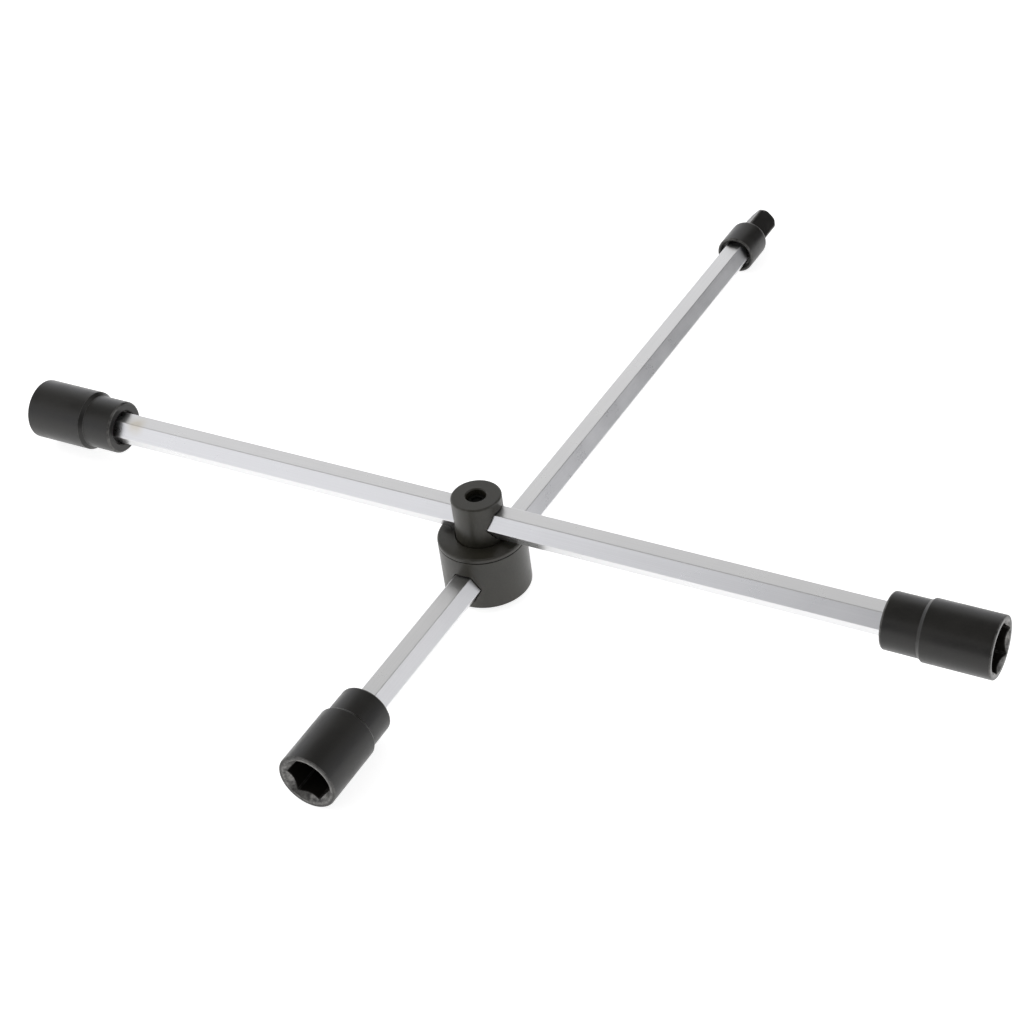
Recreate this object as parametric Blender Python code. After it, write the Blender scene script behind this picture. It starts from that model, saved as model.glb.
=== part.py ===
"""Folding four-way lug wrench: two hexagonal bars slide through a two-piece swivelling hub.

Metres, +Z up. The origin is the centre of the hub's underside, +X runs along the upper bar and
+Y runs along the lower bar towards its square drive. The hub's upper post turns about Z, so the
two bars can be folded side by side, and each bar slides lengthwise through its half of the hub.
"""

import math

import bmesh
import bpy
from mathutils import Matrix, Vector

MM = 0.001
GAP = 0.3 * MM  # room left between two pieces that touch

# Bars
BAR_FLATS = 14.0 * MM  # across flats, with one flat facing up
BAR_CORNER_ROUND = 0.45 * MM
BORE_FLATS = 14.7 * MM  # hexagonal bores that the bars run through
LOWER_AXIS_Z = 11.4 * MM
UPPER_AXIS_Z = 39.1 * MM
LOWER_BAR_TOP_Z = LOWER_AXIS_Z + BAR_FLATS / 2
UPPER_BAR_TOP_Z = UPPER_AXIS_Z + BAR_FLATS / 2

# Hub
BASE_RADIUS = 21.4 * MM
BASE_TOP_Z = 27.3 * MM
BASE_EDGE = 0.8 * MM
COVER_TOP_Z = 29.8 * MM
COVER_EDGE = 1.0 * MM
COVER_CLEARANCE = 0.35 * MM  # between the cover's bore and the post
COVER_BORE_EDGE = 0.3 * MM
CHAMBER_RADIUS = 18.0 * MM  # round chamber in the base that holds the flange of the post
CHAMBER_FLOOR_Z = 22.0 * MM
FLANGE_RADIUS = 17.4 * MM
FLANGE_BOTTOM_Z = 23.6 * MM
FLANGE_TOP_Z = 26.2 * MM
POST_RADIUS = 12.25 * MM
POST_TOP_Z = 52.1 * MM
POST_EDGE = 0.9 * MM
POST_HOLE_RADIUS = 4.9 * MM
POST_HOLE_EDGE = 0.5 * MM
SPRING_WELL_TOP_Z = 30.4 * MM
SPRING_WELL_CLEARANCE = 0.4 * MM
WASHER_INNER_RADIUS = 4.5 * MM
WASHER_OUTER_RADIUS = 9.8 * MM

# Pad and screw in the post's hole
PAD_THICKNESS = 1.0 * MM
SCREW_THICKNESS = 1.6 * MM
KEY_FLATS = 5.0 * MM
KEY_DEPTH = 1.1 * MM

# Index ball and friction ball
INDEX_BALL_RADIUS = 2.0 * MM
INDEX_BALL_Z = 22.3 * MM
INDEX_CIRCLE_RADIUS = 13.2 * MM  # distance of the index ball from the swivel axis
INDEX_WELL_BOTTOM_Z = 13.0 * MM
INDEX_GROOVE_TOP_Z = 24.7 * MM
FRICTION_BALL_RADIUS = 3.0 * MM
FRICTION_SPRING = dict(radius=2.2 * MM, wire=0.8 * MM, turns=3.5)
SMALL_SPRING = dict(radius=1.5 * MM, wire=0.6 * MM, turns=5)

# Ends of the bars, measured outwards from the swivel axis
BAR_SEAT_DEPTH = 23.0 * MM  # how far a bar reaches into its socket
BAR_MOUTH_RADIUS = 8.9 * MM  # round recess around the bar at the back of each end
BAR_MOUTH_DEPTH = 2.5 * MM
BAR_MOUTH_EDGE = 0.5 * MM
NUT_DEPTH = 23.5 * MM
PIN_RADIUS = 2.0 * MM
PIN_WALL = 0.7 * MM
PIN_SLOT = 0.7 * MM
PIN_RECESS = 0.6 * MM  # how far a pin's end lies inside the collar
PIN_TOP = 9.2 * MM  # height of the pin's blind end above the bar's axis
SOCKETS = {
    # name: direction, axis height, rear, step, front, collar and body diameters, nut size, turn
    "right": dict(out=(1, 0, 0), height=UPPER_AXIS_Z, rear=205.3, step=223.3, front=255.7,
                  collar=26.4, body=28.8, nut=21.3, turn=8.0),
    "left": dict(out=(-1, 0, 0), height=UPPER_AXIS_Z, rear=211.0, step=228.5, front=262.3,
                 collar=26.9, body=30.4, nut=22.3, turn=5.0),
    "front": dict(out=(0, -1, 0), height=LOWER_AXIS_Z, rear=111.1, step=127.0, front=161.0,
                  collar=26.0, body=28.9, nut=19.3, turn=-10.0),
}
SOCKET_EDGE = 1.2 * MM
MOUTH_EDGE = 0.6 * MM
MOUTH_RIM = 1.6 * MM  # width of the flat ring around a socket's mouth
LEAD_IN = 4.0 * MM  # depth of the tool that cuts the 45 degree cone at the mouth
STEP_BEFORE = 0.8 * MM  # the step's slope starts this far on the body's side
STEP_AFTER = 0.9 * MM  # and ends this far on the collar's side
STEP_EDGE = 0.6 * MM

# Square drive
DRIVE_REAR = 292.8 * MM
DRIVE_SHOULDER = 311.0 * MM
DRIVE_TIP = 334.5 * MM
DRIVE_COLLAR_RADIUS = 10.75 * MM
DRIVE_SQUARE = 12.7 * MM
DRIVE_SEAT_DEPTH = 15.0 * MM
DRIVE_SHOULDER_ROUND = 3.2 * MM
DRIVE_NECK_RADIUS = 6.0 * MM
DRIVE_TIP_OUTLINE = [  # radius and distance before the tip of the turned end of the square
    (5.2, 0.0), (6.7, 0.7), (7.7, 2.0), (8.4, 4.2), (8.6, 8.0),
]
DRIVE_PIN_TOP = 8.6 * MM
DRIVE_BALL_RADIUS = 2.0 * MM
DRIVE_BALL_STANDS_OUT = 0.9 * MM
DRIVE_BALL_FROM_TIP = 6.5 * MM
DRIVE_BALL_SIDE = math.radians(-45)  # the flat of the square that carries the ball
DRIVE_WELL_BOTTOM = -3.5 * MM

STEPS = 48  # facets around the large turned pieces
SMALL_STEPS = 24


def material(name, colour, roughness, metallic):
    """A Principled material."""
    made = bpy.data.materials.new(name)
    made.use_nodes = True
    shader = made.node_tree.nodes["Principled BSDF"]
    shader.inputs["Base Color"].default_value = (*colour, 1.0)
    shader.inputs["Roughness"].default_value = roughness
    shader.inputs["Metallic"].default_value = metallic
    return made


def outward(direction, height):
    """A frame for a bar's end: local Z points out along the bar, local Y up, from the hub's axis."""
    out = Vector(direction).normalized()
    up = Vector((0, 0, 1))
    side = up.cross(out)
    turn = Matrix((side, up, out)).transposed().to_4x4()
    return Matrix.Translation((0, 0, height)) @ turn


def place(name, mesh, frame, finish, parent=None):
    """Links a mesh as a named object with its own material, under its joint's empty."""
    made = bpy.data.objects.new(name, mesh)
    bpy.context.scene.collection.objects.link(made)
    if finish is not None:
        made.data.materials.append(finish)
    if parent is not None:
        made.parent = parent
        made.matrix_parent_inverse = parent.matrix_world.inverted()
    made.matrix_world = frame
    return made


def mesh_from(name, work):
    """Closes a bmesh into a mesh with its faces outwards, smooth across its gentle edges."""
    bmesh.ops.remove_doubles(work, verts=work.verts, dist=1e-7)
    bmesh.ops.recalc_face_normals(work, faces=work.faces)
    mesh = bpy.data.meshes.new(name)
    work.to_mesh(mesh)
    work.free()
    mesh.shade_smooth()
    mesh.set_sharp_from_angle(angle=math.radians(35))
    return mesh


def turned(name, outline, steps=STEPS):
    """A solid of revolution about local Z from (radius, height) points given once around."""
    work = bmesh.new()
    corners = [work.verts.new((radius, 0.0, height)) for radius, height in outline]
    edges = [work.edges.new((a, b)) for a, b in zip(corners, corners[1:] + corners[:1])
             if a.co.x > 0 or b.co.x > 0]
    bmesh.ops.spin(work, geom=corners + edges, cent=(0, 0, 0), axis=(0, 0, 1),
                   angle=math.tau, steps=steps, use_merge=True)
    return mesh_from(name, work)


def prism(name, outline, bottom, top):
    """An outline of (x, y) points raised from the bottom height to the top height."""
    work = bmesh.new()
    floor = work.faces.new([work.verts.new((x, y, bottom)) for x, y in outline])
    raised = bmesh.ops.extrude_face_region(work, geom=[floor])["geom"]
    lifted = [v for v in raised if isinstance(v, bmesh.types.BMVert)]
    bmesh.ops.translate(work, verts=lifted, vec=(0, 0, top - bottom))
    return mesh_from(name, work)


def arc(centre, radius, start, stop, count):
    """Points on an arc between two angles in degrees, both ends included."""
    angles = [math.radians(start + (stop - start) * i / (count - 1)) for i in range(count)]
    return [(centre[0] + radius * math.cos(a), centre[1] + radius * math.sin(a)) for a in angles]


def polygon(sides, flats, turn=0.0):
    """A regular polygon of the given size across flats, with a corner at the given angle."""
    radius = flats / 2 / math.cos(math.pi / sides)
    return arc((0, 0), radius, turn, turn + 360 - 360 / sides, sides)


def rounded_polygon(sides, flats, round_radius):
    """A regular polygon with a corner at angle zero, its corners rounded."""
    reach = (flats / 2 - round_radius) / math.cos(math.pi / sides)
    half = 180 / sides
    points = []
    for i in range(sides):
        angle = 360 * i / sides
        centre = (reach * math.cos(math.radians(angle)), reach * math.sin(math.radians(angle)))
        points += arc(centre, round_radius, angle - half, angle + half, 4)
    return points


def rod(name, radius, bottom, top, steps=SMALL_STEPS):
    """A plain cylinder about local Z."""
    return turned(name, [(0, bottom), (radius, bottom), (radius, top), (0, top)], steps)


def ball(name, radius):
    """A ball about the local origin."""
    work = bmesh.new()
    bmesh.ops.create_uvsphere(work, u_segments=16, v_segments=10, radius=radius)
    return mesh_from(name, work)


def cut(piece, mesh, frame):
    """Takes a mesh away from a piece with a hidden cutter."""
    cutter = place(mesh.name, mesh, frame, None)
    cutter.hide_render = True
    cutter.display_type = "WIRE"
    boolean = piece.modifiers.new(mesh.name, "BOOLEAN")
    boolean.operation = "DIFFERENCE"
    boolean.solver = "EXACT"
    boolean.object = cutter


def coil_spring(name, sizes, bottom, top, frame, finish, parent):
    """A round-wire compression spring about local Z, between two heights."""
    radius, wire, turns = sizes["radius"], sizes["wire"], sizes["turns"]
    points_per_turn = 14
    count = int(turns * points_per_turn) + 1
    curve = bpy.data.curves.new(name, "CURVE")
    curve.dimensions = "3D"
    curve.bevel_depth = wire / 2
    curve.bevel_resolution = 1
    curve.use_fill_caps = True
    spline = curve.splines.new("POLY")
    spline.points.add(count - 1)
    for i, point in enumerate(spline.points):
        share = i / (count - 1)
        angle = math.tau * turns * share
        height = bottom + wire / 2 + (top - bottom - wire) * share
        point.co = (radius * math.cos(angle), radius * math.sin(angle), height, 1)
    return place(name, curve, frame, finish, parent)


def joint_empty(name, location, parent=None):
    """An empty on a joint's axis, which carries the pieces that move with it."""
    made = bpy.data.objects.new(name, None)
    bpy.context.scene.collection.objects.link(made)
    made.location = location
    if parent is not None:
        made.parent = parent
        made.matrix_parent_inverse = parent.matrix_world.inverted()
    bpy.context.view_layer.update()
    return made


def black_steel(name):
    """Black phosphated steel, for the hub and the sockets."""
    return material(name, (0.028, 0.028, 0.027), 0.48, 0.55)


def bright_steel(name):
    """Satin zinc-plated steel, for the bars and the small hardware."""
    return material(name, (0.60, 0.60, 0.60), 0.32, 1.0)


def make_hub_base(here):
    """The wide lower half of the hub, with the lower bar's bore and the chamber for the post."""
    outline = [(0, 0), (BASE_RADIUS - BASE_EDGE, 0), (BASE_RADIUS, BASE_EDGE),
               (BASE_RADIUS, BASE_TOP_Z), (CHAMBER_RADIUS, BASE_TOP_Z),
               (CHAMBER_RADIUS, CHAMBER_FLOOR_Z), (0, CHAMBER_FLOOR_Z)]
    base = place("hub_base", turned("hub_base", outline, 64), here, black_steel("hub_base_steel"))
    reach = BASE_RADIUS * 1.3
    bore = prism("lower_bore", polygon(6, BORE_FLATS), -reach, reach)
    cut(base, bore, outward((0, 1, 0), LOWER_AXIS_Z))
    ball_hole = rod("friction_ball_hole", FRICTION_BALL_RADIUS + GAP, LOWER_AXIS_Z, BASE_TOP_Z)
    cut(base, ball_hole, here)
    well = rod("index_well", INDEX_BALL_RADIUS + GAP, INDEX_WELL_BOTTOM_Z, BASE_TOP_Z)
    cut(base, well, Matrix.Translation((INDEX_CIRCLE_RADIUS, 0, 0)))
    return base


def make_hub_cover(here):
    """The ring pressed into the top of the base, which holds the flange of the post down."""
    inner = POST_RADIUS + COVER_CLEARANCE
    spigot = CHAMBER_RADIUS - GAP
    underside = BASE_TOP_Z + GAP
    spigot_bottom = FLANGE_TOP_Z + GAP
    edge_centre = (BASE_RADIUS - COVER_EDGE, COVER_TOP_Z - COVER_EDGE)
    outline = [(inner, spigot_bottom), (spigot, spigot_bottom), (spigot, underside),
               (BASE_RADIUS, underside)]
    outline += arc(edge_centre, COVER_EDGE, 0, 90, 4)
    outline += [(inner + COVER_BORE_EDGE, COVER_TOP_Z), (inner, COVER_TOP_Z - COVER_BORE_EDGE)]
    place("hub_cover", turned("hub_cover", outline, 64), here, black_steel("hub_cover_steel"))


def make_pivot_head(here, pivot):
    """The post that turns in the base: flange below, hexagonal bore across, screw hole on top."""
    edge_centre = (POST_RADIUS - POST_EDGE, POST_TOP_Z - POST_EDGE)
    outline = [(0, FLANGE_BOTTOM_Z), (FLANGE_RADIUS, FLANGE_BOTTOM_Z),
               (FLANGE_RADIUS, FLANGE_TOP_Z), (POST_RADIUS, FLANGE_TOP_Z)]
    outline += arc(edge_centre, POST_EDGE, 0, 90, 4)
    outline += [(0, POST_TOP_Z)]
    head = place("pivot_head", turned("pivot_head", outline), here,
                 black_steel("pivot_head_steel"), pivot)
    reach = POST_RADIUS * 1.5
    bore = prism("upper_bore", polygon(6, BORE_FLATS), -reach, reach)
    cut(head, bore, outward((1, 0, 0), UPPER_AXIS_Z))
    hole = [(0, UPPER_AXIS_Z), (POST_HOLE_RADIUS, UPPER_AXIS_Z),
            (POST_HOLE_RADIUS, POST_TOP_Z - POST_HOLE_EDGE),
            (POST_HOLE_RADIUS + 2 * POST_HOLE_EDGE, POST_TOP_Z + POST_HOLE_EDGE),
            (0, POST_TOP_Z + POST_HOLE_EDGE)]
    cut(head, turned("screw_hole", hole, 32), here)
    well = rod("spring_well", FRICTION_BALL_RADIUS + SPRING_WELL_CLEARANCE, CHAMBER_FLOOR_Z,
               SPRING_WELL_TOP_Z)
    cut(head, well, here)
    groove_half = INDEX_BALL_RADIUS + GAP
    low, high = CHAMBER_FLOOR_Z, INDEX_GROOVE_TOP_Z
    inner, outer = INDEX_CIRCLE_RADIUS - groove_half, INDEX_CIRCLE_RADIUS + groove_half
    groove = turned("index_groove", [(inner, low), (outer, low), (outer, high), (inner, high)])
    cut(head, groove, here)
    return head


def make_hub_inside(here, pivot):
    """The washer, balls, springs, pad and screw that are hidden in the hub."""
    washer_bottom = CHAMBER_FLOOR_Z + GAP
    washer_top = FLANGE_BOTTOM_Z - GAP
    inner, outer = WASHER_INNER_RADIUS, WASHER_OUTER_RADIUS
    washer = [(inner, washer_bottom), (outer, washer_bottom), (outer, washer_top),
              (inner, washer_top)]
    place("thrust_washer", turned("thrust_washer", washer, 32), here,
          bright_steel("washer_steel"))

    friction_ball_z = LOWER_BAR_TOP_Z + GAP + FRICTION_BALL_RADIUS
    place("lower_friction_ball", ball("lower_friction_ball", FRICTION_BALL_RADIUS),
          Matrix.Translation((0, 0, friction_ball_z)), bright_steel("friction_ball_steel"))
    coil_spring("lower_friction_spring", FRICTION_SPRING,
                friction_ball_z + FRICTION_BALL_RADIUS + GAP, SPRING_WELL_TOP_Z - GAP,
                here, bright_steel("friction_spring_steel"), pivot)

    index_frame = Matrix.Translation((INDEX_CIRCLE_RADIUS, 0, 0))
    place("index_ball", ball("index_ball", INDEX_BALL_RADIUS),
          Matrix.Translation((INDEX_CIRCLE_RADIUS, 0, INDEX_BALL_Z)),
          bright_steel("index_ball_steel"))
    coil_spring("index_spring", SMALL_SPRING, INDEX_WELL_BOTTOM_Z + GAP,
                INDEX_BALL_Z - INDEX_BALL_RADIUS - GAP, index_frame,
                bright_steel("index_spring_steel"), None)

    pad_bottom = UPPER_BAR_TOP_Z + GAP
    pad_top = pad_bottom + PAD_THICKNESS
    pad = rod("brake_pad", POST_HOLE_RADIUS - GAP, pad_bottom, pad_top, 32)
    place("brake_pad", pad, here, material("brake_pad_nylon", (0.7, 0.68, 0.6), 0.5, 0.0), pivot)
    screw_bottom = pad_top + GAP
    screw_top = screw_bottom + SCREW_THICKNESS
    screw = place("brake_screw", rod("brake_screw", POST_HOLE_RADIUS - GAP, screw_bottom,
                                     screw_top, 32), here, black_steel("brake_screw_steel"), pivot)
    key = prism("brake_screw_key", polygon(6, KEY_FLATS), screw_top - KEY_DEPTH, screw_top + MM)
    cut(screw, key, here)


def make_bar(name, frame, start, stop, pins, parent):
    """A hexagonal bar along local Z, with a cross hole for the pin of each end."""
    outline = rounded_polygon(6, BAR_FLATS, BAR_CORNER_ROUND)
    bar = place(name, prism(name, outline, start, stop), frame, bright_steel(f"{name}_steel"),
                parent)
    for number, pin in enumerate(pins):
        hole = rod(f"{name}_pin_hole_{number}", PIN_RADIUS + GAP, -BAR_FLATS, BAR_FLATS)
        cut(bar, hole, frame @ Matrix.Translation((0, 0, pin)) @ Matrix.Rotation(math.pi / 2, 4, "X"))
    return bar


def pin_frame(frame, along):
    """A frame with local Z up, on the bar's axis at a distance along the bar."""
    return Matrix.Translation(frame @ Vector((0, 0, along)))


def make_end(name, frame, outline, along, pin_top, collar_radius, seat_depth, rear, parent):
    """An end fitting turned from an outline, bored for its bar and cross-drilled from below."""
    end = place(name, turned(name, outline), frame, black_steel(f"{name}_steel"), parent)
    recess = [(0, rear - MM), (BAR_MOUTH_RADIUS + BAR_MOUTH_EDGE + MM, rear - MM),
              (BAR_MOUTH_RADIUS, rear + BAR_MOUTH_EDGE), (BAR_MOUTH_RADIUS, rear + BAR_MOUTH_DEPTH),
              (0, rear + BAR_MOUTH_DEPTH)]
    cut(end, turned(f"{name}_recess", recess, 32), frame)
    bore = prism(f"{name}_bar_bore", polygon(6, BORE_FLATS), rear + BAR_MOUTH_DEPTH / 2,
                 rear + seat_depth + GAP)
    cut(end, bore, frame)
    hole = rod(f"{name}_cross_hole", PIN_RADIUS + GAP, -collar_radius - MM, pin_top + GAP)
    cut(end, hole, pin_frame(frame, along))
    return end


def make_pin(name, frame, along, pin_top, collar_radius, parent):
    """A slotted spring pin, driven in from below through the collar and the bar."""
    slot = math.degrees(PIN_SLOT / PIN_RADIUS) / 2
    inner = PIN_RADIUS - PIN_WALL
    outline = arc((0, 0), PIN_RADIUS, slot, 360 - slot, 18)
    outline += arc((0, 0), inner, 360 - slot * PIN_RADIUS / inner, slot * PIN_RADIUS / inner, 18)
    place(name, prism(name, outline, PIN_RECESS - collar_radius, pin_top), pin_frame(frame, along),
          bright_steel(f"{name}_steel"), parent)


def make_socket(side, sizes, parent):
    """A six-point socket: narrow collar, wider body, chamfered mouth with a conical lead-in."""
    name = f"{side}_socket"
    frame = outward(sizes["out"], sizes["height"])
    rear, step, front = (sizes[key] * MM for key in ("rear", "step", "front"))
    collar, body = sizes["collar"] / 2 * MM, sizes["body"] / 2 * MM
    nut = sizes["nut"] * MM
    mouth = body - MOUTH_EDGE - MOUTH_RIM
    outline = [(0, front)]
    outline += arc((body - MOUTH_EDGE, front - MOUTH_EDGE), MOUTH_EDGE, 90, 0, 4)
    outline += [(body, step + STEP_BEFORE), (body - STEP_EDGE, step), (collar, step - STEP_AFTER)]
    outline += arc((collar - SOCKET_EDGE, rear + SOCKET_EDGE), SOCKET_EDGE, 0, -90, 4)
    outline += [(0, rear)]
    along = rear + BAR_SEAT_DEPTH / 2
    socket = make_end(name, frame, outline, along, PIN_TOP, collar, BAR_SEAT_DEPTH, rear, parent)
    cut(socket, prism(f"{name}_nut", polygon(6, nut, sizes["turn"]), front - NUT_DEPTH,
                      front + MM), frame)
    lead_in = [(0, front + MM), (mouth + MM, front + MM), (mouth - LEAD_IN, front - LEAD_IN),
               (0, front - LEAD_IN)]
    cut(socket, turned(f"{name}_lead_in", lead_in), frame)
    make_pin(f"{side}_pin", frame, along, PIN_TOP, collar, parent)


def make_drive_end(frame, parent):
    """The square drive: a collar on the bar, a rounded shoulder and a square stub, corner up."""
    collar = DRIVE_COLLAR_RADIUS
    rounding = DRIVE_SHOULDER_ROUND
    outline = [(0, DRIVE_SHOULDER + rounding), (DRIVE_NECK_RADIUS, DRIVE_SHOULDER + rounding)]
    outline += arc((collar - rounding, DRIVE_SHOULDER), rounding, 75, 0, 5)
    outline += arc((collar - SOCKET_EDGE, DRIVE_REAR + SOCKET_EDGE), SOCKET_EDGE, 0, -90, 4)
    outline += [(0, DRIVE_REAR)]
    along = DRIVE_REAR + (BAR_MOUTH_DEPTH + DRIVE_SEAT_DEPTH) / 2
    end = make_end("drive_end", frame, outline, along, DRIVE_PIN_TOP, collar, DRIVE_SEAT_DEPTH,
                   DRIVE_REAR, parent)

    stub = place("drive_stub", prism("drive_stub", polygon(4, DRIVE_SQUARE), DRIVE_SHOULDER,
                                     DRIVE_TIP), frame, None)
    stub.hide_render = True
    stub.display_type = "WIRE"
    join = end.modifiers.new("drive_stub", "BOOLEAN")
    join.operation = "UNION"
    join.solver = "EXACT"
    join.object = stub
    tip_outline = [(radius * MM, DRIVE_TIP - before * MM) for radius, before in DRIVE_TIP_OUTLINE]
    ring = [(DRIVE_SQUARE, tip_outline[-1][1]), (DRIVE_SQUARE, DRIVE_TIP + MM),
            (tip_outline[0][0] - MM, DRIVE_TIP + MM), *tip_outline]
    cut(end, turned("drive_stub_turning", ring), frame)
    well = rod("drive_ball_well", DRIVE_BALL_RADIUS + GAP, DRIVE_WELL_BOTTOM, DRIVE_SQUARE)
    cut(end, well, drive_ball_frame(frame))
    make_pin("drive_pin", frame, along, DRIVE_PIN_TOP, collar, parent)


def drive_ball_frame(frame):
    """A frame whose local Z leaves the bar's axis through the flat that carries the ball."""
    across = frame.to_3x3() @ Vector((-math.cos(DRIVE_BALL_SIDE), math.sin(DRIVE_BALL_SIDE), 0))
    origin = frame @ Vector((0, 0, DRIVE_TIP - DRIVE_BALL_FROM_TIP))
    return Matrix.Translation(origin) @ across.to_track_quat("Z", "Y").to_matrix().to_4x4()


def make_drive_ball(frame, parent):
    """The sprung ball that holds a socket on the square drive."""
    seat = drive_ball_frame(frame)
    centre = DRIVE_SQUARE / 2 + DRIVE_BALL_STANDS_OUT - DRIVE_BALL_RADIUS
    press = joint_empty("drive_ball_press", seat @ Vector((0, 0, centre)), parent)
    place("drive_ball", ball("drive_ball", DRIVE_BALL_RADIUS),
          seat @ Matrix.Translation((0, 0, centre)), bright_steel("drive_ball_steel"), press)
    spring_top = centre - DRIVE_BALL_RADIUS - DRIVE_BALL_STANDS_OUT - GAP
    coil_spring("drive_spring", SMALL_SPRING, DRIVE_WELL_BOTTOM + GAP, spring_top, seat,
                bright_steel("drive_spring_steel"), parent)


def main():
    for old in list(bpy.data.objects):
        bpy.data.objects.remove(old, do_unlink=True)

    here = Matrix.Identity(4)
    pivot = joint_empty("pivot_fold", (0, 0, 0))
    upper_slide = joint_empty("upper_bar_slide", (0, 0, UPPER_AXIS_Z), pivot)
    lower_slide = joint_empty("lower_bar_slide", (0, 0, LOWER_AXIS_Z))

    make_hub_base(here)
    make_hub_cover(here)
    make_pivot_head(here, pivot)
    make_hub_inside(here, pivot)

    for side, sizes in SOCKETS.items():
        make_socket(side, sizes, lower_slide if side == "front" else upper_slide)
    drive_frame = outward((0, 1, 0), LOWER_AXIS_Z)
    make_drive_end(drive_frame, lower_slide)
    make_drive_ball(drive_frame, lower_slide)

    seat = BAR_SEAT_DEPTH
    ends = {side: sizes["rear"] * MM for side, sizes in SOCKETS.items()}
    upper_pins = [ends["right"] + seat / 2, -ends["left"] - seat / 2]
    make_bar("upper_bar", outward((1, 0, 0), UPPER_AXIS_Z), -ends["left"] - seat,
             ends["right"] + seat, upper_pins, upper_slide)
    drive_pin = DRIVE_REAR + (BAR_MOUTH_DEPTH + DRIVE_SEAT_DEPTH) / 2
    lower_pins = [drive_pin, -ends["front"] - seat / 2]
    make_bar("lower_bar", drive_frame, -ends["front"] - seat, DRIVE_REAR + DRIVE_SEAT_DEPTH,
             lower_pins, lower_slide)


main()
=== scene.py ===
# %% [markdown]
# # A folding four-way lug wrench
#
# Two hexagonal steel bars cross at a black two-part hub and slide through it. Three ends carry
# six-point sockets for wheel nuts, and the fourth a half-inch square drive. This lesson builds
# the fine surfaces and the finishes around a model that is already packed: every size that the
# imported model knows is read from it, and only the details that it leaves out are given here.

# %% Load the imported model
import math

import bmesh
import bpy
import numpy as np
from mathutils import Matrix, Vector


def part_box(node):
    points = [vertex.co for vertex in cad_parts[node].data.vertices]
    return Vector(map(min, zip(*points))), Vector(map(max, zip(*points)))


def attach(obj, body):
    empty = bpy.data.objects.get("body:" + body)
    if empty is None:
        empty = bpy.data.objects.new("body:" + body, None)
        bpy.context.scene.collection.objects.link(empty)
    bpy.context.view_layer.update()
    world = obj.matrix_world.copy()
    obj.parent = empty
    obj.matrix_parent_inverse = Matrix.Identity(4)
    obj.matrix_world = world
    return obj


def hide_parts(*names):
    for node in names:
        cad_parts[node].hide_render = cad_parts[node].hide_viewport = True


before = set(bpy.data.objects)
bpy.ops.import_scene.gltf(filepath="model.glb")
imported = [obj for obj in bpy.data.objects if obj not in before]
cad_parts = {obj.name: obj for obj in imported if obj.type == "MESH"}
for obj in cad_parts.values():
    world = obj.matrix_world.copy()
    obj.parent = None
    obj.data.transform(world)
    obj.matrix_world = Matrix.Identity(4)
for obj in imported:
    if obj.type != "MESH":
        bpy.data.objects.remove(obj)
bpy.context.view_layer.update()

MM = 0.001

# %% [markdown]
# An object holds a place and points to its data, which may be a mesh, a camera or a light. A
# place is easiest to give as three unit vectors and an origin, because those are the columns of
# its matrix. Blender takes a matrix as rows, so the array is turned before it is handed over.

# %% Objects and places
def add_object(name, data):
    """A new object in the scene that holds the data."""
    made = bpy.data.objects.new(name, data)
    bpy.context.scene.collection.objects.link(made)
    return made


def stand(item, axes, origin):
    """Places an object by its three unit vectors, which are its matrix's columns, and its origin."""
    matrix = np.eye(4)
    matrix[:3, :3] = np.column_stack(axes)
    matrix[:3, 3] = origin
    item.matrix_world = matrix.T.tolist()


# %% [markdown]
# ## The camera
#
# The wrench is seen from its front right, from well above, with a long lens, and the camera is
# held a little crooked, so that the upper bar runs down to the right. A camera's local -Z is its
# line of sight and +Y its upper edge, so three unit vectors in the columns of its matrix place
# it exactly. That is easier to read than three Euler angles.

# %% Place the camera
VIEW_AZIMUTH = math.radians(-33.50)  # turned from looking along +Y, towards -X
VIEW_ELEVATION = math.radians(37.53)
VIEW_ROLL = math.radians(-8.01)
VIEW_POINT = np.array([0.0070, 0.0180, 0.0306])  # the point at the middle of the view
VIEW_DISTANCE = 1.0745
LENS_MM = 78.63


def view_axes(azimuth, elevation, roll):
    """Right, up and backward unit vectors of a camera: the line of sight from the two angles,
    the level right and up vectors from cross products with +Z, then both turned by the roll."""
    level = math.cos(elevation)
    sight = np.array([math.sin(azimuth) * level, math.cos(azimuth) * level, -math.sin(elevation)])
    right = np.cross(sight, [0, 0, 1])
    right /= np.linalg.norm(right)
    up = np.cross(right, sight)
    turned_right = math.cos(roll) * right + math.sin(roll) * up
    turned_up = math.cos(roll) * up - math.sin(roll) * right
    return turned_right, turned_up, -sight


def place_camera():
    """A camera VIEW_DISTANCE away from VIEW_POINT, on the line of sight through it."""
    camera = add_object("camera", bpy.data.cameras.new("camera"))
    axes = view_axes(VIEW_AZIMUTH, VIEW_ELEVATION, VIEW_ROLL)
    stand(camera, axes, VIEW_POINT + axes[2] * VIEW_DISTANCE)
    camera.data.lens = LENS_MM
    bpy.context.scene.camera = camera
    return camera


camera = place_camera()
print("camera at", np.round(camera.matrix_world.translation, 4).tolist())

# %% [markdown]
# ## Surfaces from grids
#
# Every piece of this wrench was turned, drawn or broached, so its skin is a stack of closed
# rings. If a whole stack is one array of shape (rings, points around, 3), numpy can work it out
# in a few lines, and one function can make the mesh: quads between rings, and a fan of triangles
# on the first and the last ring. Ring 0 is the start of the piece's outline, and the outline
# comes back to the axis at its end, so the surface is always closed.

# %% Mesh a stack of rings
def numbered(rows, columns):
    """Each ring's point numbers, those of the points beside them, and the quads between rings."""
    here = np.arange(rows * columns).reshape(rows, columns)
    beside = np.roll(here, -1, axis=1)
    quads = np.stack([here[:-1], beside[:-1], beside[1:], here[1:]], axis=-1).reshape(-1, 4)
    return here, beside, quads


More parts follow.
